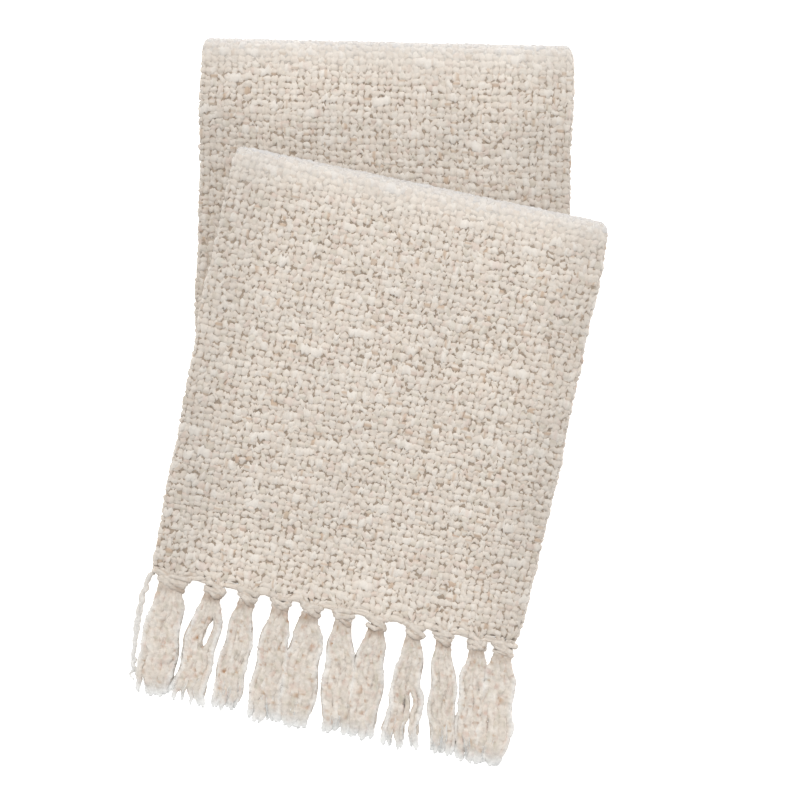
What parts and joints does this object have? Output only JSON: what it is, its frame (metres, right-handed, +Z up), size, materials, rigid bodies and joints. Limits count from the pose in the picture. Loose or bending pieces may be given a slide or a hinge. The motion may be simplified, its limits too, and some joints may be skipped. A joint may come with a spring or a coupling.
{
  "type": "boucle throw blanket, folded",
  "caption": "Cream boucle throw blanket, folded in thirds and laid back on itself at a slant, with knotted tassel fringe at the open end.",
  "frame": {"origin": "middle of the throw's own box, on the surface that it lies on", "axes": "+Z up from the surface, +Y from the open fringe towards the folded top, +X to the right as seen from above with the fringe nearest"},
  "size_m": [0.5504, 0.8422, 0.0643],
  "materials": {
    "boucle_cloth": "plain-woven boucle, matt",
    "fringe_yarn": "loose boucle yarn, matt and fuzzy"
  },
  "bodies": {
    "root": {"cloth": "boucle_cloth", "front_fringe": "fringe_yarn", "back_fringe": "fringe_yarn"}
  },
  "joints": []
}
